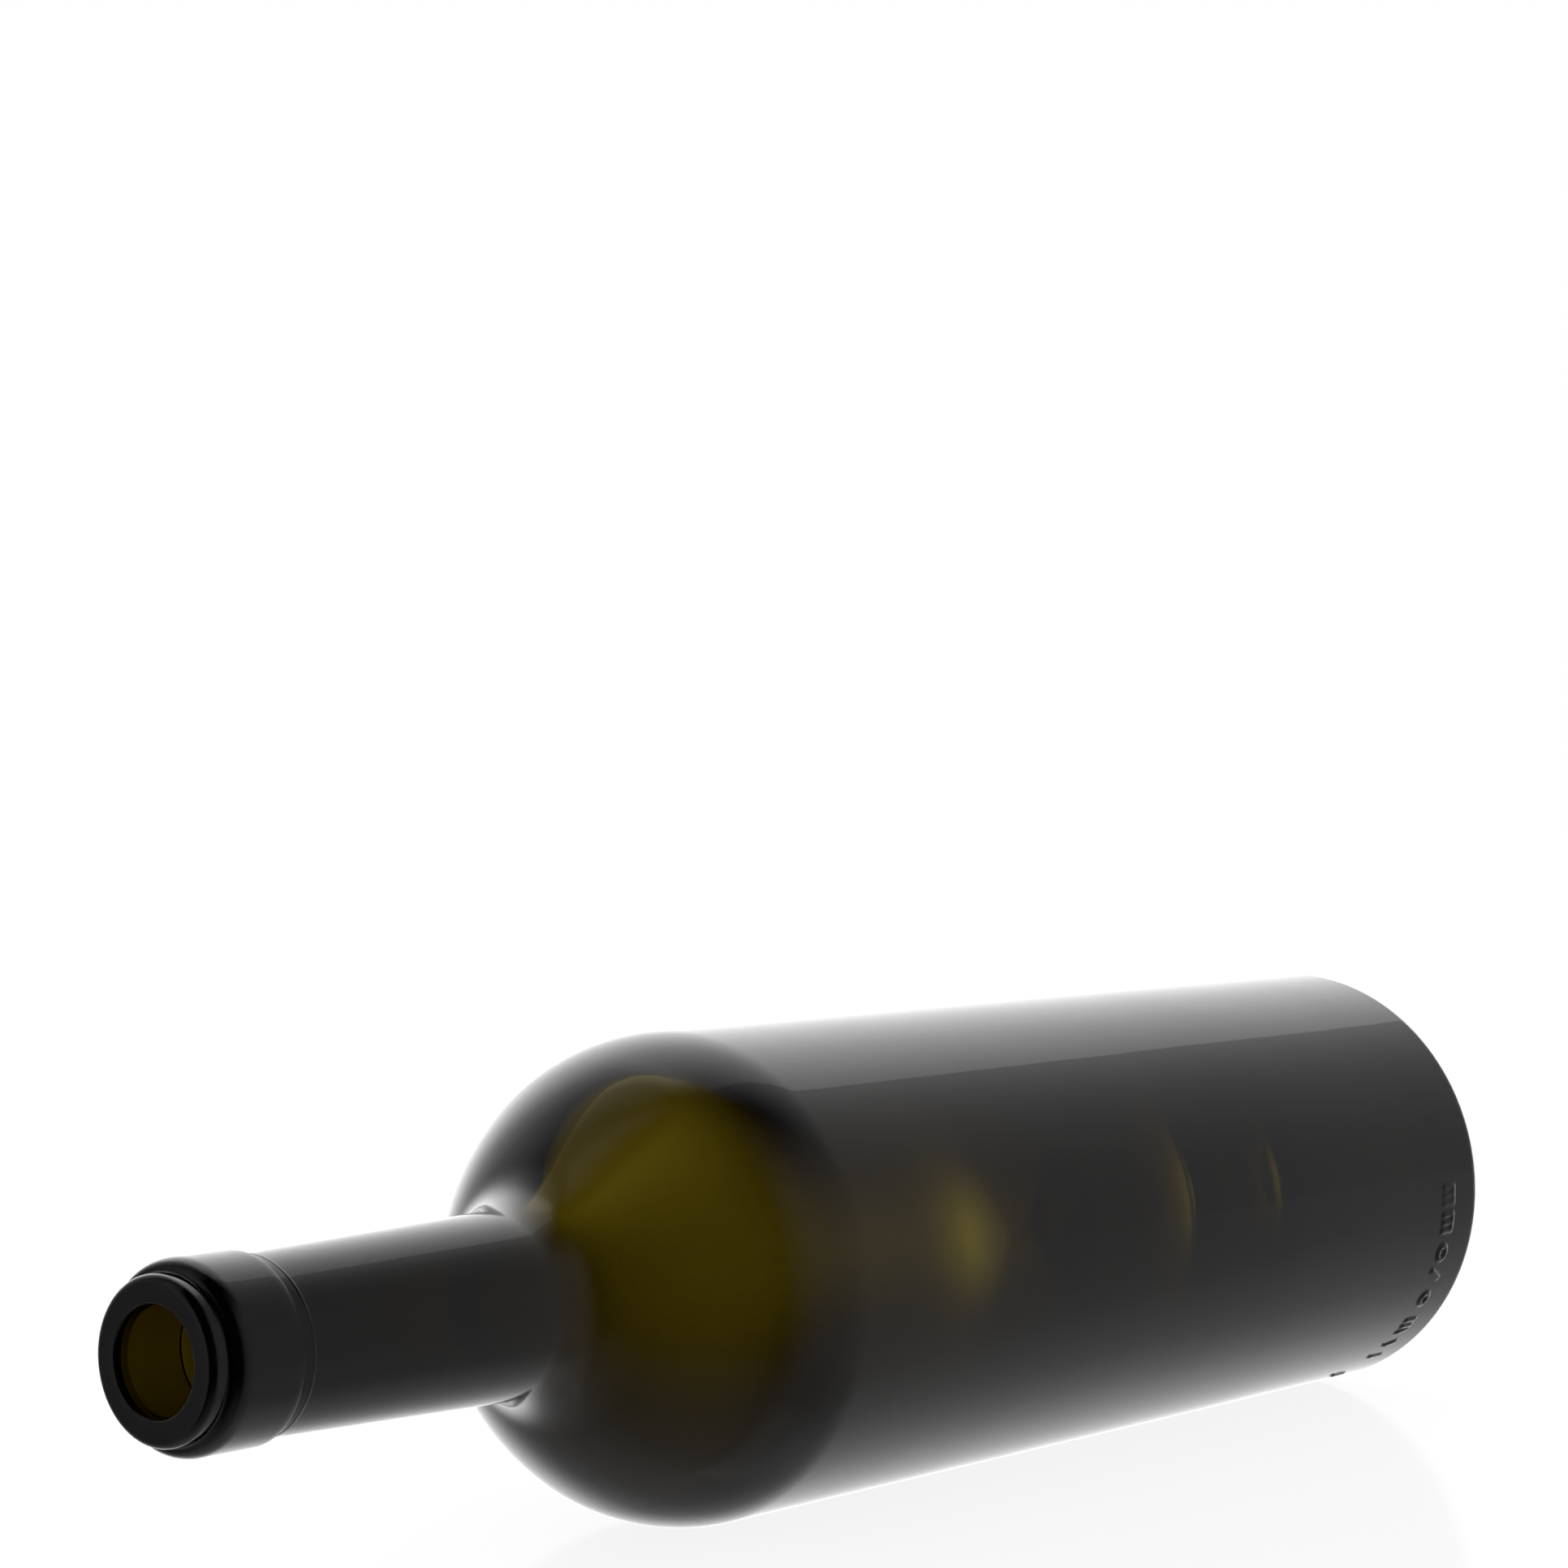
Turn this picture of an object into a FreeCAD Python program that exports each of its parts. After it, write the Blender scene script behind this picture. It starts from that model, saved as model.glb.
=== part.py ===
import FreeCAD, Part
import math
import os

# An empty Bordeaux wine bottle of dark green glass, open at the mouth, lying on its side.
# Blown in one piece: rounded lip, cork-finish collar, flaring neck, round shoulder, straight
# body, tight heel and pushed-up base, all around one hollow.
# The axis runs along X, mouth towards -X and base towards +X, with the floor at Z = 0.

# ---- overall size (mm) ----
LENGTH = 290.0
BODY_RADIUS = 38.25

# ---- mouth and lip ----
MOUTH_RADIUS = 7.6
MOUTH_ROUND = 0.6
LIP_RADIUS = 11.75
LIP_ROUND = 1.3

# ---- collar, from the lip down to its step ----
COLLAR_RADIUS = 13.7
COLLAR_START = 2.6
COLLAR_FILLET = 0.6
COLLAR_ROUND = 1.35
COLLAR_END = 15.1

# ---- neck ----
NECK_RADIUS_TOP = 12.75
NECK_RADIUS_FOOT = 14.05
BORE_STRAIGHT = 6.0
BORE_LENGTH = 45.0
BORE_RADIUS_DEEP = 9.5
NECK_WALL_FOOT = 3.4

# ---- shoulder: a fillet off the neck, then a bulge into the body ----
SHOULDER_END = 107.3
SHOULDER_RADIUS = 30.3
NECK_FILLET = 11.2
GLASS_WALL = 2.5

# ---- heel and pushed-up base (punt) ----
HEEL_RADIUS = 2.6
BEARING_ROUND = 2.4
PUNT_DEPTH = 30.0
PUNT_TIP_RADIUS = 12.0
PUNT_HALF_ANGLE = 38.0
PUNT_WALL = 4.6
TROUGH_ROUND = 3.0

# ---- narrow flat along the body, on which the bottle lies ----
REST_FLAT_WIDTH = 8.0


def at(s, r):
    """A point of the half section: s along the axis from the mouth, r out from the axis."""
    return FreeCAD.Vector(s, 0, r)


def arc(centre, radius, from_angle, to_angle):
    """Three points of an arc, angles in degrees: 0 towards the base, 90 outwards."""
    points = []
    for angle in (from_angle, (from_angle + to_angle) / 2, to_angle):
        s = centre[0] + radius * math.cos(math.radians(angle))
        r = centre[1] + radius * math.sin(math.radians(angle))
        points.append(at(s, r))
    return points


def halved(centre, radius, from_angle, to_angle):
    """The same arc as two that follow on, so that a wide bulge is two smaller faces."""
    middle = (from_angle + to_angle) / 2
    return [arc(centre, radius, from_angle, middle), arc(centre, radius, middle, to_angle)]


def revolved(pieces):
    """The solid turned from a half section of arcs and corners with straight lines between."""
    edges = []
    for piece, following in zip(pieces, pieces[1:] + pieces[:1]):
        if len(piece) == 3:
            edges.append(Part.Arc(*piece).toShape())
        if piece[-1].distanceToPoint(following[0]) > 1e-6:
            edges.append(Part.makeLine(piece[-1], following[0]))
    section = Part.Face(Part.Wire(edges))
    return section.revolve(at(0, 0), FreeCAD.Vector(1, 0, 0), 360)


# ---- finish, from the bore's edge over the lip and collar to the step at the neck ----
mouth_edge = [arc((MOUTH_ROUND, MOUTH_RADIUS + MOUTH_ROUND), MOUTH_ROUND, 270, 180)]
lip = halved((LIP_ROUND, LIP_RADIUS - LIP_ROUND), LIP_ROUND, 180, 90)
root_centre = (COLLAR_START - COLLAR_FILLET, LIP_RADIUS + COLLAR_FILLET)
collar_root = [arc(root_centre, COLLAR_FILLET, 270, 360)]
collar_centre = (COLLAR_START + COLLAR_ROUND, COLLAR_RADIUS - COLLAR_ROUND)
collar = halved(collar_centre, COLLAR_ROUND, 180, 90)
collar_step = [[at(COLLAR_END, COLLAR_RADIUS)], [at(COLLAR_END, NECK_RADIUS_TOP)]]

# ---- shoulder: the fillet and the bulge touch where the line of their centres crosses ----
bulge_centre = (SHOULDER_END, BODY_RADIUS - SHOULDER_RADIUS)
centre_gap = SHOULDER_RADIUS + NECK_FILLET
centre_rise = NECK_RADIUS_FOOT + NECK_FILLET - bulge_centre[1]
centre_run = math.sqrt(centre_gap ** 2 - centre_rise ** 2)
turn = math.degrees(math.atan2(centre_rise, centre_run))
fillet_centre = (SHOULDER_END - centre_run, NECK_RADIUS_FOOT + NECK_FILLET)
neck_fillet = [arc(fillet_centre, NECK_FILLET, 270, 360 - turn)]
shoulder = halved(bulge_centre, SHOULDER_RADIUS, 180 - turn, 90)

# ---- heel, bearing ring and punt: the punt's wall is a cone that runs off its rounded tip ----
heel = halved((LENGTH - HEEL_RADIUS, BODY_RADIUS - HEEL_RADIUS), HEEL_RADIUS, 90, 0)
wall_sine = math.sin(math.radians(PUNT_HALF_ANGLE))
wall_cosine = math.cos(math.radians(PUNT_HALF_ANGLE))
tip_centre = LENGTH - PUNT_DEPTH + PUNT_TIP_RADIUS
ring_s = LENGTH - BEARING_ROUND
ring_r = (PUNT_TIP_RADIUS + BEARING_ROUND + (ring_s - tip_centre) * wall_sine) / wall_cosine
bearing = [arc((ring_s, ring_r), BEARING_ROUND, 0, PUNT_HALF_ANGLE - 90)]
punt_tip = [arc((tip_centre, 0), PUNT_TIP_RADIUS, 90 + PUNT_HALF_ANGLE, 180)]

# ---- inside of the glass, from the punt's tip through its trough back to the mouth ----
inner_tip_radius = PUNT_TIP_RADIUS + PUNT_WALL
inner_tip = [arc((tip_centre, 0), inner_tip_radius, 180, 90 + PUNT_HALF_ANGLE)]
trough_r = BODY_RADIUS - GLASS_WALL - TROUGH_ROUND
trough_s = tip_centre + (trough_r * wall_cosine - inner_tip_radius - TROUGH_ROUND) / wall_sine
trough = halved((trough_s, trough_r), TROUGH_ROUND, PUNT_HALF_ANGLE - 90, 90)
bore_foot = [at(fillet_centre[0], NECK_RADIUS_FOOT - NECK_WALL_FOOT)]
inner_shoulder = halved(bulge_centre, SHOULDER_RADIUS - GLASS_WALL, 90, 180 - turn)
inner_fillet = [arc(fillet_centre, NECK_FILLET + GLASS_WALL, 360 - turn, 285)]
bore = [[at(BORE_LENGTH, BORE_RADIUS_DEEP)], [at(BORE_STRAIGHT, MOUTH_RADIUS)]]

# ---- one solid, turned about its axis and laid down on its flat ----
outside = mouth_edge + lip + collar_root + collar + collar_step
outside += neck_fillet + shoulder + heel + bearing + punt_tip
inside = inner_tip + trough + inner_shoulder + inner_fillet + [bore_foot] + bore
bottle = revolved(outside + inside)

half_flat = REST_FLAT_WIDTH / 2
axis_height = math.sqrt(BODY_RADIUS ** 2 - half_flat ** 2)
bottle.translate(FreeCAD.Vector(-LENGTH / 2, 0, axis_height))
below_floor = Part.makeBox(LENGTH, REST_FLAT_WIDTH, BODY_RADIUS)
below_floor.translate(FreeCAD.Vector(-LENGTH / 2, -half_flat, -BODY_RADIUS))
bottle = bottle.cut(below_floor)

os.makedirs("parts", exist_ok=True)
bottle.exportStep("parts/bottle.step")
print("glass, cubic centimetres:", round(bottle.Volume / 1000, 1))
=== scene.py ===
import math

import bmesh
import bpy
from mathutils import Matrix, Vector


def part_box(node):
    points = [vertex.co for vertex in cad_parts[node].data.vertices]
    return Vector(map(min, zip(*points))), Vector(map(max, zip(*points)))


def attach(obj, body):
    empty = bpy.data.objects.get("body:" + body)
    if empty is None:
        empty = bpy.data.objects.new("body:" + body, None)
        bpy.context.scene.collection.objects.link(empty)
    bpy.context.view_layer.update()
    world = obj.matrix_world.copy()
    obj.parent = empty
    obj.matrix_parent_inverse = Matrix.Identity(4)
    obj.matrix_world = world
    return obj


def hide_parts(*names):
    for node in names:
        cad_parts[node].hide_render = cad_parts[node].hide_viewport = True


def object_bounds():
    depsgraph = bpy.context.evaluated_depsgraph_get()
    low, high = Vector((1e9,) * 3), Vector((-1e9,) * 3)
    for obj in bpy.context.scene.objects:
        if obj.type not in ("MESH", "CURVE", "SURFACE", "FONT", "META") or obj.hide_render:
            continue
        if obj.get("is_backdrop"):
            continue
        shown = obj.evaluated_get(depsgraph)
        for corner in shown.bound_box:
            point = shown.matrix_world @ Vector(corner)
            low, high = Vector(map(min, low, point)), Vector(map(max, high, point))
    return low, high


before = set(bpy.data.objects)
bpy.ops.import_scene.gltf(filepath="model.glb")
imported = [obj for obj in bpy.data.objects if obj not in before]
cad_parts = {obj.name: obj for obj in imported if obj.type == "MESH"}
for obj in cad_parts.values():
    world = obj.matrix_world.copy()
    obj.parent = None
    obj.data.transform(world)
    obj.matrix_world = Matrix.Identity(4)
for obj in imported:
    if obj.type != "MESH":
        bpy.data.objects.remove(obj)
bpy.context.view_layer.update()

# ---------------------------------------------------------------------------------------------
# Bottle: one piece of dark green glass, a red-wine bottle lying empty on its side. A gob of glass
# is blown in an iron mould, which gives the body, the shoulder and the pushed-up base, and the
# mouth with its collar is pressed by a ring around the neck.
# ---------------------------------------------------------------------------------------------

# Sizes in millimetres and degrees. s runs along the axis from the mouth, r is the distance from it.
MM = 0.001
BOX_CLEARANCE = 0.01
box_low, box_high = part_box("bottle")
MOUTH_X = box_low.x
LENGTH = (box_high.x - box_low.x) / MM
BODY_RADIUS = (box_high.y - box_low.y) / 2 / MM - BOX_CLEARANCE
AXIS_HEIGHT = box_high.z - BODY_RADIUS * MM

# Finish: the lip, the collar under it and the faint seam that the neck ring leaves. EDGE_KEEP is
# the short run beside a sharp line that keeps its shading crisp.
MOUTH_RADIUS = 7.8
MOUTH_ROUND = 0.3
LIP_RADIUS = 11.8
LIP_ROUND = 1.15
COLLAR_RADIUS = 13.7
COLLAR_START = 2.9
COLLAR_FILLET = 0.45
COLLAR_LEAN = 2.6
COLLAR_END = 15.1
COLLAR_EDGE_ROUND = 0.3
COLLAR_FOOT = 0.05
RING_SEAM_AT = 17.6
RING_SEAM_HEIGHT = 0.12
RING_SEAM_HALF_WIDTH = 0.2
EDGE_KEEP = 0.15

# Neck, then a shoulder of two arcs: a flatter flank that eases into a rounder bulge.
NECK_RADIUS_TOP = 12.75
NECK_RADIUS_FOOT = 14.0
SHOULDER_SLOPE = 55.5
FLANK_RADIUS = 47.0
FLANK_SLOPE = 33.0
SHOULDER_RADIUS = 30.4
SHOULDER_END = 107.3

# Body, heel and pushed-up base.
HEEL_BAND_DEPTH = 0.15
HEEL_BAND_FROM = 224.0
HEEL_BAND_EASE = 48.0
HEEL_BAND_STEPS = 12
HEEL_RADIUS = 2.9
BEARING_ROUND = 2.4
PUNT_DEPTH = 30.0
PUNT_TIP_RADIUS = 12.0
PUNT_HALF_ANGLE = 38.0

# Inner face: the bore, with the fine line that the mould's plug leaves in it, and the wall.
PLUG_LINE_AT = 2.0
PLUG_LINE_HEIGHT = 0.2
PLUG_LINE_HALF_WIDTH = 0.15
BORE_RADIUS_TOP = 8.0
BORE_TOP_SPAN = (PLUG_LINE_AT + 2.5, COLLAR_END - 3.0)
BORE_RADIUS_WAIST = 7.4
BORE_WAIST_SPAN = (COLLAR_END + 0.5, COLLAR_END + 4.0)
BORE_RADIUS_DEEP = 9.5
BORE_LENGTH = 45.0
BORE_SLOPE_AT_SHOULDER = 2.0
BODY_WALL = 4.0
PUNT_WALL = 4.6
TROUGH_ROUND = 3.0


def arc(centre, radius, from_angle, to_angle, steps, depth=None):
    """Points (s, r) along an arc, where 0 degrees points to the base and 90 away from the axis."""
    points = []
    for i in range(steps + 1):
        angle = math.radians(from_angle + (to_angle - from_angle) * i / steps)
        points.append((centre[0] + (depth or radius) * math.cos(angle),
                       centre[1] + radius * math.sin(angle)))
    return points


def line(start, end, steps):
    """Points (s, r) along a straight run, without its first point."""
    return [
        (start[0] + (end[0] - start[0]) * i / steps, start[1] + (end[1] - start[1]) * i / steps)
        for i in range(1, steps + 1)
    ]


# Centres of the arcs, each placed so that it runs on smoothly from the one beside it.
slope = math.radians(SHOULDER_SLOPE)
easing = math.radians(FLANK_SLOPE)
bulge_centre = (SHOULDER_END, BODY_RADIUS - SHOULDER_RADIUS)
flank_centre = (bulge_centre[0] + (FLANK_RADIUS - SHOULDER_RADIUS) * math.sin(easing),
                bulge_centre[1] - (FLANK_RADIUS - SHOULDER_RADIUS) * math.cos(easing))
flank_start = (flank_centre[0] - FLANK_RADIUS * math.sin(slope),
               flank_centre[1] + FLANK_RADIUS * math.cos(slope))
neck_fillet = (flank_start[1] - NECK_RADIUS_FOOT) / (1 - math.cos(slope))
fillet_centre = (flank_start[0] - neck_fillet * math.sin(slope), NECK_RADIUS_FOOT + neck_fillet)
punt_sine = math.sin(math.radians(PUNT_HALF_ANGLE))
punt_cosine = math.cos(math.radians(PUNT_HALF_ANGLE))
tip_centre = (LENGTH - PUNT_DEPTH + PUNT_TIP_RADIUS, 0)
bearing_s = LENGTH - BEARING_ROUND
bearing_r = (PUNT_TIP_RADIUS + BEARING_ROUND + (bearing_s - tip_centre[0]) * punt_sine) / punt_cosine

# Half section of the outer face, from the mouth to the tip of the punt.
outside = arc((MOUTH_ROUND, MOUTH_RADIUS + MOUTH_ROUND), MOUTH_ROUND, 270, 180, 8)
outside += arc((LIP_ROUND, LIP_RADIUS - LIP_ROUND), LIP_ROUND, 180, 90, 12)
outside += arc((COLLAR_START - COLLAR_FILLET, LIP_RADIUS + COLLAR_FILLET), COLLAR_FILLET, 270, 360, 6)
collar_step = COLLAR_RADIUS - LIP_RADIUS - COLLAR_FILLET
outside += arc((COLLAR_START + COLLAR_LEAN, COLLAR_RADIUS - collar_step), collar_step, 180, 90, 14,
               COLLAR_LEAN)[1:]
collar_edge = (COLLAR_END - COLLAR_EDGE_ROUND, COLLAR_RADIUS - COLLAR_EDGE_ROUND)
outside += line(outside[-1], (collar_edge[0], COLLAR_RADIUS), 10)
outside += arc(collar_edge, COLLAR_EDGE_ROUND, 90, 0, 4)[1:]
outside += line(outside[-1], (COLLAR_END + COLLAR_FOOT, NECK_RADIUS_TOP), 2)
outside += line(outside[-1], (outside[-1][0] + EDGE_KEEP, NECK_RADIUS_TOP), 2)
neck_taper = (NECK_RADIUS_FOOT - NECK_RADIUS_TOP) / (fillet_centre[0] - COLLAR_END)
seam_foot = NECK_RADIUS_TOP + neck_taper * (RING_SEAM_AT - COLLAR_END)
outside += line(outside[-1], (RING_SEAM_AT - RING_SEAM_HALF_WIDTH - EDGE_KEEP, seam_foot), 3)
outside += [
    (RING_SEAM_AT - RING_SEAM_HALF_WIDTH, seam_foot),
    (RING_SEAM_AT, seam_foot + RING_SEAM_HEIGHT),
    (RING_SEAM_AT + RING_SEAM_HALF_WIDTH, seam_foot),
    (RING_SEAM_AT + RING_SEAM_HALF_WIDTH + EDGE_KEEP, seam_foot),
]
outside += line(outside[-1], (fillet_centre[0], NECK_RADIUS_FOOT), 24)
outside += arc(fillet_centre, neck_fillet, 270, 270 + SHOULDER_SLOPE, 20)[1:]
outside += arc(flank_centre, FLANK_RADIUS, 90 + SHOULDER_SLOPE, 90 + FLANK_SLOPE, 16)[1:]
outside += arc(bulge_centre, SHOULDER_RADIUS, 90 + FLANK_SLOPE, 90, 24)[1:]
outside += line(outside[-1], (HEEL_BAND_FROM, BODY_RADIUS), 16)
for i in range(1, HEEL_BAND_STEPS):
    share = i / HEEL_BAND_STEPS
    outside.append((HEEL_BAND_FROM + HEEL_BAND_EASE * share,
                    BODY_RADIUS - HEEL_BAND_DEPTH * (1 - math.cos(math.pi * share)) / 2))
band_radius = BODY_RADIUS - HEEL_BAND_DEPTH
outside += line(outside[-1], (LENGTH - HEEL_RADIUS, band_radius), 52)
outside += arc((LENGTH - HEEL_RADIUS, band_radius - HEEL_RADIUS), HEEL_RADIUS, 90, 0, 12)[1:]
outside += arc((bearing_s, bearing_r), BEARING_ROUND, 0, PUNT_HALF_ANGLE - 90, 8)
outside += arc(tip_centre, PUNT_TIP_RADIUS, 90 + PUNT_HALF_ANGLE, 180, 12)

# Half section of the inner face, back from the punt through the trough round it to the mouth.
inner_tip_radius = PUNT_TIP_RADIUS + PUNT_WALL
trough_r = BODY_RADIUS - BODY_WALL - TROUGH_ROUND
trough_s = tip_centre[0] + (trough_r * punt_cosine - inner_tip_radius - TROUGH_ROUND) / punt_sine
inside = arc(tip_centre, inner_tip_radius, 180, 90 + PUNT_HALF_ANGLE, 14)
inside += arc((trough_s, trough_r), TROUGH_ROUND, PUNT_HALF_ANGLE - 90, 90, 12)
inside += line(inside[-1], (SHOULDER_END, BODY_RADIUS - BODY_WALL), 40)
inside += arc(bulge_centre, SHOULDER_RADIUS - BODY_WALL, 90, 90 + FLANK_SLOPE, 18)[1:]
inside += arc(flank_centre, FLANK_RADIUS - BODY_WALL, 90 + FLANK_SLOPE, 90 + SHOULDER_SLOPE, 12)[1:]
inside += arc(fillet_centre, neck_fillet + BODY_WALL, 270 + SHOULDER_SLOPE,
              270 + BORE_SLOPE_AT_SHOULDER, 16)[1:]
inside += line(inside[-1], (BORE_LENGTH, BORE_RADIUS_DEEP), 8)
inside += line(inside[-1], (BORE_WAIST_SPAN[1], BORE_RADIUS_WAIST), 6)
inside += line(inside[-1], (BORE_WAIST_SPAN[0], BORE_RADIUS_WAIST), 3)
inside += line(inside[-1], (BORE_TOP_SPAN[1], BORE_RADIUS_TOP), 6)
inside += line(inside[-1], (BORE_TOP_SPAN[0], BORE_RADIUS_TOP), 4)
inside += line(inside[-1], (PLUG_LINE_AT + 2 * PLUG_LINE_HALF_WIDTH, MOUTH_RADIUS), 4)
inside += [
    (PLUG_LINE_AT + PLUG_LINE_HALF_WIDTH, MOUTH_RADIUS - PLUG_LINE_HEIGHT),
    (PLUG_LINE_AT, MOUTH_RADIUS),
]

# Thin places of the blown wall: (place along, reach, angle round, reach, glass taken away). The
# angle is 0 at the side that faces -Y and 90 at the top, and the reaches are half widths.
THIN_PLACES = (
    (83.0, 20.0, 75.0, 38.0, 3.1),
    (82.0, 17.5, -14.0, 84.0, 1.85),
    (122.0, 25.0, 11.0, 24.0, 1.7),
    (146.0, 17.0, 8.0, 26.0, 2.1),
    (180.0, 60.0, 190.0, 60.0, 1.6),
    (195.0, 6.0, 12.0, 22.0, 3.4),
    (222.0, 5.0, 12.0, 20.0, 3.4),
)
THIN_SPAN = (56.0, 284.0)
PUNT_SIDE_RADIUS = 20.0
LEAST_WALL = 0.6


def thinned(s, r, turn):
    """Glass taken away from the wall's inner face at a place, in millimetres."""
    on_punt = s > LENGTH / 2 and r < PUNT_SIDE_RADIUS
    if on_punt or not THIN_SPAN[0] <= s <= THIN_SPAN[1]:
        return 0.0
    taken = 0.0
    for place, reach, angle, width, depth in THIN_PLACES:
        off = (turn - angle + 180) % 360 - 180
        taken += depth * math.exp(-((s - place) / reach) ** 4 - (off / width) ** 2)
    return min(taken, BODY_WALL - LEAST_WALL)


# Mould marks round the heel, on the side that faces -Y: plain bars and rings, no letters. A bar
# runs from one (along, angle) to another, and a ring has a centre and a radius.
MARKS_AT = 278.2
MARKS_REACH = 5.5
MARKS_FROM, MARKS_TO = -68.0, 7.6
MARK_TALL = 1.5
MARK_LINE = 0.46
MARK_HEIGHT = 0.32
FAR_AWAY = 9.0
DEGREE = math.radians(1) * BODY_RADIUS
bars = [(-MARK_TALL, a, MARK_TALL, a) for a in (2.6, 0.4, -1.8, -5.0, -7.2, -9.4, -37.5, -39.7)]
bars += [
    (MARK_TALL, 2.6, MARK_TALL, -1.8),
    (MARK_TALL, -5.0, MARK_TALL, -9.4),
    (-MARK_TALL, -21.0, MARK_TALL, -23.4),
    (-MARK_TALL, -42.2, MARK_TALL, -41.2),
    (-MARK_TALL, -47.6, MARK_TALL, -46.6),
    (-1.8, -53.2, 1.8, -53.2),
    (-4.6, -64.0, -1.2, -64.0),
]
marked_rings = ((0.0, -15.8, 1.25), (0.0, -30.0, 1.15))


def raised(s, turn):
    """Height of the mould marks over a place of the outer face, in millimetres."""
    along = s - MARKS_AT
    if abs(along) > MARKS_REACH or not MARKS_FROM < turn < MARKS_TO:
        return 0.0
    across = turn * DEGREE
    nearest = FAR_AWAY
    for s0, a0, s1, a1 in bars:
        ds, da = s1 - s0, (a1 - a0) * DEGREE
        share = ((along - s0) * ds + (across - a0 * DEGREE) * da) / (ds * ds + da * da)
        share = min(1.0, max(0.0, share))
        nearest = min(nearest, math.hypot(along - s0 - ds * share, across - a0 * DEGREE - da * share))
    for s0, a0, radius in marked_rings:
        nearest = min(nearest, abs(math.hypot(along - s0, across - a0 * DEGREE) - radius))
    rise = min(1.0, max(0.0, 1.5 - nearest / MARK_LINE))
    return MARK_HEIGHT * rise * rise * (3 - 2 * rise)


# The closed section is turned about the axis, in finer steps where the marks are. The underside
# is cut level with the table, and no mark stands out past the body's widest line.
FINE_TURN = 0.45
fine_turns = round((MARKS_TO - MARKS_FROM) / FINE_TURN)
turns = list(range(8, 291, 2)) + [MARKS_FROM + FINE_TURN * i for i in range(fine_turns + 1)]
rings = [(s, r, False) for s, r in outside] + [(s, r, True) for s, r in inside]
ON_AXIS = 1e-6
vertices = []
faces = []
starts = []
for k, (s, r, inner) in enumerate(rings):
    starts.append((len(vertices), r < ON_AXIS))
    if r < ON_AXIS:
        vertices.append((MOUTH_X + s * MM, 0.0, AXIS_HEIGHT))
        continue
    before, after = rings[k - 1], rings[(k + 1) % len(rings)]
    ds, dr = after[0] - before[0], after[1] - before[1]
    size = math.hypot(ds, dr)
    for turn in turns:
        angle = math.radians(turn)
        if inner:
            taken = thinned(s, r, turn)
            at_s, at_r = s + taken * dr / size, r - taken * ds / size
        else:
            side_limit = BODY_RADIUS / max(0.9, abs(math.cos(angle)))
            at_s, at_r = s, min(r + raised(s, turn), side_limit)
        vertices.append((MOUTH_X + at_s * MM, -at_r * MM * math.cos(angle),
                         max(0.0, AXIS_HEIGHT + at_r * MM * math.sin(angle))))
for k in range(len(rings)):
    a, a_tip = starts[k]
    b, b_tip = starts[(k + 1) % len(rings)]
    if a_tip and b_tip:
        continue
    for i in range(len(turns)):
        j = (i + 1) % len(turns)
        if a_tip:
            faces.append((a, b + j, b + i))
        elif b_tip:
            faces.append((a + i, a + j, b))
        else:
            faces.append((a + i, a + j, b + j, b + i))
mesh = bpy.data.meshes.new("bottle_glass")
mesh.from_pydata(vertices, [], faces)
shell = bmesh.new()
shell.from_mesh(mesh)
bmesh.ops.remove_doubles(shell, verts=shell.verts, dist=1e-6)
bmesh.ops.recalc_face_normals(shell, faces=shell.faces)
for face in shell.faces:
    face.smooth = True
shell.to_mesh(mesh)
shell.free()
bottle = bpy.data.objects.new("glass_bottle", mesh)
bpy.context.scene.collection.objects.link(bottle)


def linear(hex_colour):
    """An sRGB hex colour as linear red, green, blue and full alpha."""
    channels = [int(hex_colour[i:i + 2], 16) / 255 for i in (1, 3, 5)]
    return tuple(c / 12.92 if c <= 0.04045 else ((c + 0.055) / 1.055) ** 2.4 for c in channels) + (1.0,)


def node(tree, kind, settings=None, links=None):
    """Adds a node. Settings are its properties or sockets' values, links its incoming sockets."""
    made = tree.nodes.new(kind)
    for name, value in (settings or {}).items():
        if isinstance(name, int) or name in made.inputs:
            made.inputs[name].default_value = value
        else:
            setattr(made, name, value)
    for name, socket in (links or {}).items():
        tree.links.new(socket, made.inputs[name])
    return made


# Soda-lime glass coloured dark green by iron and chrome, blown in a mould. Its skin is clear and
# smooth, and the colour is in its thickness: black where it is thick, olive gold where it is thin.
# The mould leaves slow waves in the skin, and a faint orange peel that is too shallow to feel.
WAVE_MM, WAVE_HEIGHT_MM = 22.0, 0.05
PEEL_MM, PEEL_HEIGHT_MM = 5.0, 0.004
glass = bpy.data.materials.new("green_glass_blown")
glass.use_nodes = True
tree = glass.node_tree
tree.nodes.clear()
place = node(tree, "ShaderNodeTexCoord")
waves = node(tree, "ShaderNodeTexNoise", {"Scale": 1 / (WAVE_MM * MM), "Detail": 1.0},
             {"Vector": place.outputs["Object"]})
peel = node(tree, "ShaderNodeTexNoise", {"Scale": 1 / (PEEL_MM * MM), "Detail": 1.0},
            {"Vector": place.outputs["Object"]})
wavy = node(tree, "ShaderNodeBump", {"Strength": 1.0, "Distance": WAVE_HEIGHT_MM * MM},
            {"Height": waves.outputs["Fac"]})
dimpled = node(tree, "ShaderNodeBump", {"Strength": 1.0, "Distance": PEEL_HEIGHT_MM * MM},
               {"Height": peel.outputs["Fac"], "Normal": wavy.outputs["Normal"]})
surface = node(tree, "ShaderNodeBsdfPrincipled", {
    "Base Color": (1.0, 1.0, 1.0, 1.0),
    "Roughness": 0.0,
    "IOR": 1.52,
    "Transmission Weight": 1.0,
}, {"Normal": dimpled.outputs["Normal"]})
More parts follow.
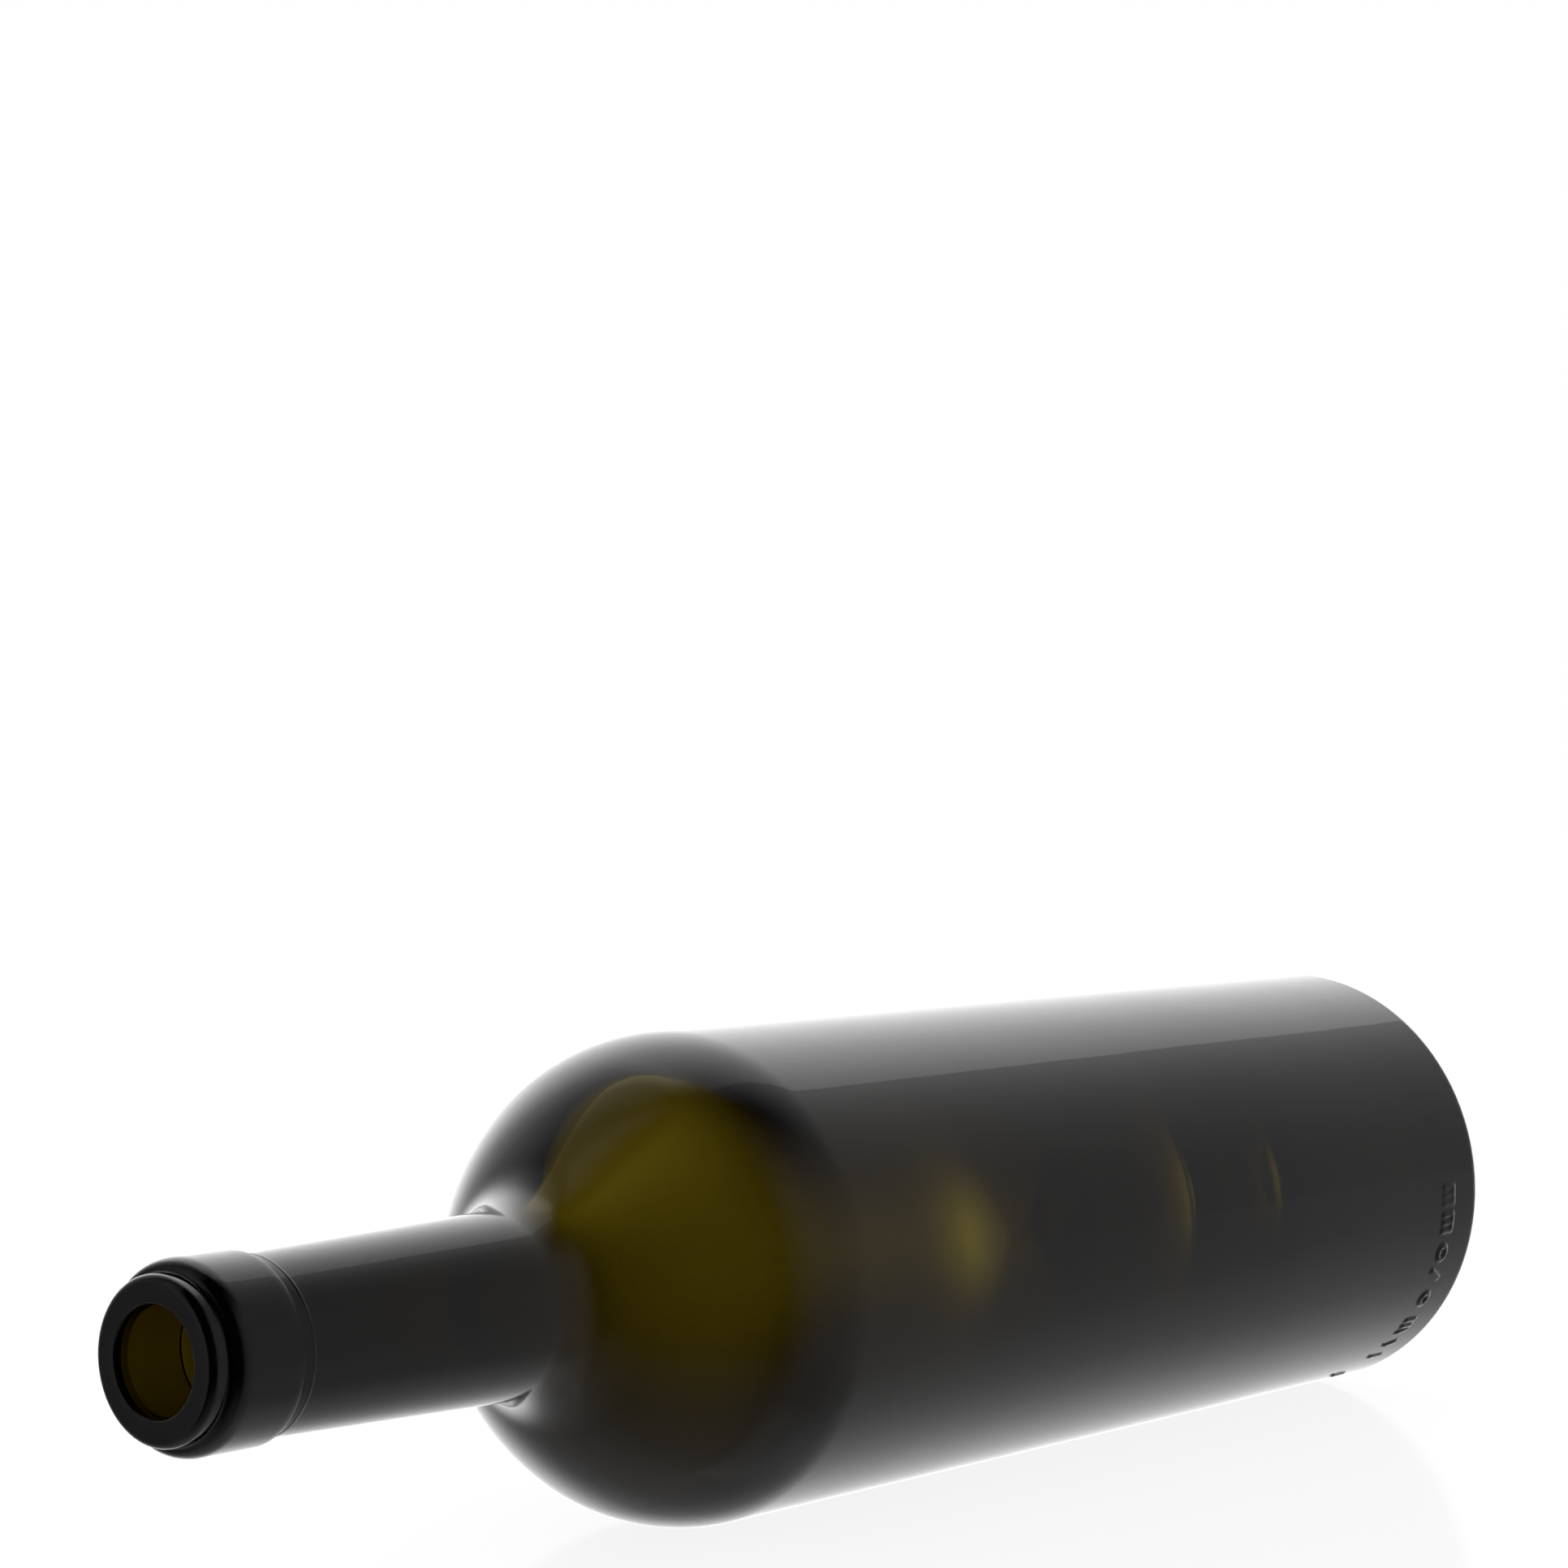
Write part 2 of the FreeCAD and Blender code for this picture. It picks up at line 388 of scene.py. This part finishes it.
tint = node(tree, "ShaderNodeVolumeAbsorption", {"Color": linear("#BEB600"), "Density": 1500.0})
node(tree, "ShaderNodeOutputMaterial", None, {"Surface": surface.outputs[0], "Volume": tint.outputs[0]})
mesh.materials.append(glass)
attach(bottle, "root")
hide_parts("bottle")

# ---------------------------------------------------------------------------------------------
# Table top: a sheet of white acrylic, bright enough to leave the frame white, which keeps the
# bottle's faint mirror image and shadow. The glass doesn't mirror it, and sees the room instead.
# ---------------------------------------------------------------------------------------------
TABLE_WIDTH = 6.0
SHEET_SHARE = 0.12
bpy.ops.mesh.primitive_plane_add(size=TABLE_WIDTH, location=(0, 0, 0))
floor = bpy.context.object
floor.name = "table_top"
white = bpy.data.materials.new("white_acrylic_sheet")
white.use_nodes = True
tree = white.node_tree
tree.nodes.clear()
sheet = node(tree, "ShaderNodeBsdfPrincipled", {"Base Color": linear("#F4F4F4"), "Roughness": 0.12})
glow = node(tree, "ShaderNodeEmission", {"Color": (1, 1, 1, 1), "Strength": 1.0})
path = node(tree, "ShaderNodeLightPath")
seen = node(tree, "ShaderNodeMath", {"operation": "MULTIPLY", 1: 1 - SHEET_SHARE},
            {0: path.outputs["Is Camera Ray"]})
both = node(tree, "ShaderNodeMixShader", None, {0: seen.outputs[0], 1: sheet.outputs[0], 2: glow.outputs[0]})
node(tree, "ShaderNodeOutputMaterial", None, {"Surface": both.outputs[0]})
floor.data.materials.append(white)
floor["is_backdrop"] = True
floor.visible_glossy = False
floor.visible_transmission = False

# ---------------------------------------------------------------------------------------------
# Room: white to the eye and to plain surfaces. Glass shows a large softbox that stands behind
# the bottle, ends sharply on the right and fades to the left, over a dark room in front.
# ---------------------------------------------------------------------------------------------
SOFTBOX_EDGE = 85.4
PAST_EDGE_LEVEL = 0.68
world = bpy.data.worlds.new("studio")
bpy.context.scene.world = world
world.use_nodes = True
tree = world.node_tree
tree.nodes.clear()
where = node(tree, "ShaderNodeTexCoord")
axes = node(tree, "ShaderNodeSeparateXYZ", None, {"Vector": where.outputs["Generated"]})
compass = node(tree, "ShaderNodeMath", {"operation": "ARCTAN2"},
               {0: axes.outputs["X"], 1: axes.outputs["Y"]})
height = node(tree, "ShaderNodeMath", {"operation": "ARCSINE"}, {0: axes.outputs["Z"]})

# Levels of light in stops of (degrees, level). "across" is by compass angle, from -180 to 180 with
# 0 at +Y and 90 at +X, and the others are by height over the horizon, from -90 to 90.
LIGHT = {
    "softbox across": (
        (-75, 0), (-60, 0.2), (-50, 0.3), (-42, 0.2), (-30, 0.2), (-15, 0.4), (0, 0.6), (10, 0.92),
        (22, 1.7), (30, 1.95), (45, 1.88), (60, 1.65), (75, 1.42), (88, 1.12), (105, 0.52), (120, 0.1),
        (130, 0)),
    "softbox up": (
        (-90, 0.01), (-65, 0.02), (-55, 0.09), (-51, 0.14), (-47, 0.24), (-42, 0.37), (-35, 0.57),
        (-20, 0.72), (-8, 0.85), (2, 1), (25, 1), (35, 0.94), (45, 0.78), (55, 0.67), (65, 0.52),
        (75, 0.32), (81, 0.06), (86, 0)),
    "side wall across": (
        (-180, 0.1), (-172, 0), (92, 0), (105, 0.1), (120, 0.24), (135, 0.3), (150, 0.27), (165, 0.25),
        (178, 0.12), (180, 0.1)),
    "side wall up": (
        (-90, 0.4), (-65, 0.48), (-55, 0.6), (-45, 0.48), (-35, 0.68), (-25, 1), (20, 1), (35, 0.95),
        (45, 0.75), (55, 0.36), (65, 0.12), (75, 0)),
    "table glow across": (
        (-100, 0), (-60, 0.5), (-30, 0.9), (0, 1), (105, 1), (125, 0.5), (140, 0)),
    "table glow up": (
        (-90, 0.03), (-75, 0.1), (-65, 0.12), (-55, 0.14), (-45, 0.08), (-35, 0)),
    "room up": (
        (-90, 0.34), (-75, 0.26), (-65, 0.23), (-55, 0.18), (-45, 0.14), (-35, 0.09), (-25, 0.03),
        (-15, 0.015), (90, 0.01)),
}
light = {}
for name, stops in LIGHT.items():
    angle, span = (compass, 360) if name.endswith("across") else (height, 180)
    share = node(tree, "ShaderNodeMath", {"operation": "MULTIPLY_ADD", 1: 180 / math.pi / span, 2: 0.5},
                 {0: angle.outputs[0]})
    ramp = node(tree, "ShaderNodeValToRGB", None, {0: share.outputs[0]})
    elements = ramp.color_ramp.elements
    elements[0].position = stops[0][0] / span + 0.5
    elements[1].position = stops[-1][0] / span + 0.5
    for degrees, level in stops[1:-1]:
        elements.new(degrees / span + 0.5)
    for element, (degrees, level) in zip(elements, stops):
        element.color = (level, level, level, 1.0)
    light[name] = ramp.outputs["Color"]

# The softbox's sharp right edge, which shows only over the table.
past_edge = node(tree, "ShaderNodeMath", {"operation": "GREATER_THAN", 1: math.radians(SOFTBOX_EDGE)},
                 {0: compass.outputs[0]})
above_table = node(tree, "ShaderNodeMath", {"operation": "GREATER_THAN", 1: 0.0}, {0: axes.outputs["Z"]})
beyond = node(tree, "ShaderNodeMath", {"operation": "MULTIPLY"},
              {0: past_edge.outputs[0], 1: above_table.outputs[0]})
kept = node(tree, "ShaderNodeMath", {"operation": "MULTIPLY_ADD", 1: PAST_EDGE_LEVEL - 1, 2: 1.0},
            {0: beyond.outputs[0]})
whole = node(tree, "ShaderNodeMath", {"operation": "MULTIPLY"},
             {0: light["softbox across"], 1: light["softbox up"]})
softbox = node(tree, "ShaderNodeMath", {"operation": "MULTIPLY"}, {0: whole.outputs[0], 1: kept.outputs[0]})
side = node(tree, "ShaderNodeMath", {"operation": "MULTIPLY_ADD"},
            {0: light["side wall across"], 1: light["side wall up"], 2: softbox.outputs[0]})
low = node(tree, "ShaderNodeMath", {"operation": "MULTIPLY_ADD"},
           {0: light["table glow across"], 1: light["table glow up"], 2: side.outputs[0]})
studio = node(tree, "ShaderNodeMath", {"operation": "ADD"}, {0: low.outputs[0], 1: light["room up"]})
path = node(tree, "ShaderNodeLightPath")
by_glass = node(tree, "ShaderNodeMath", {"operation": "MAXIMUM"},
                {0: path.outputs["Is Glossy Ray"], 1: path.outputs["Is Transmission Ray"]})
strength = node(tree, "ShaderNodeMix", {"data_type": "FLOAT", 2: 1.0},
                {0: by_glass.outputs[0], 3: studio.outputs[0]})
room = node(tree, "ShaderNodeBackground", {"Color": (1, 1, 1, 1)}, {"Strength": strength.outputs[0]})
node(tree, "ShaderNodeOutputWorld", None, {"Surface": room.outputs[0]})

# ---------------------------------------------------------------------------------------------
# Camera: low over the table, in front of the mouth's right side, with the bottle in the lower
# part of a square frame.
# ---------------------------------------------------------------------------------------------
AZIMUTH = -50.92
ELEVATION = 1.154
ROLL = 0.289
FRAME_MM = 254.94
DISTANCE_IN_FRAMES = 2.5973
AIM_AT = 150.0
AIM_RIGHT = 0.03938
AIM_UP = -0.29670
SENSOR_MM = 36.0
azimuth, elevation, roll = (math.radians(v) for v in (AZIMUTH, ELEVATION, ROLL))
look = Vector((
    -math.sin(azimuth) * math.cos(elevation),
    math.cos(azimuth) * math.cos(elevation),
    -math.sin(elevation),
))
right = look.cross(Vector((0, 0, 1))).normalized()
up = right.cross(look)
right, up = right * math.cos(roll) + up * math.sin(roll), up * math.cos(roll) - right * math.sin(roll)
frame_width = FRAME_MM * MM
aim = Vector((MOUTH_X + AIM_AT * MM, 0, AXIS_HEIGHT))
stand = aim - look * DISTANCE_IN_FRAMES * frame_width - (right * AIM_RIGHT + up * AIM_UP) * frame_width
lens = bpy.data.cameras.new("camera")
lens.sensor_width = SENSOR_MM
lens.lens = DISTANCE_IN_FRAMES * SENSOR_MM
lens.clip_start = 0.01
camera = bpy.data.objects.new("camera", lens)
camera.matrix_world = Matrix((
    (right.x, up.x, -look.x, stand.x),
    (right.y, up.y, -look.y, stand.y),
    (right.z, up.z, -look.z, stand.z),
    (0, 0, 0, 1),
))
bpy.context.scene.collection.objects.link(camera)
bpy.context.scene.camera = camera
bpy.context.scene.view_settings.view_transform = "Standard"

low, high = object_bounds()
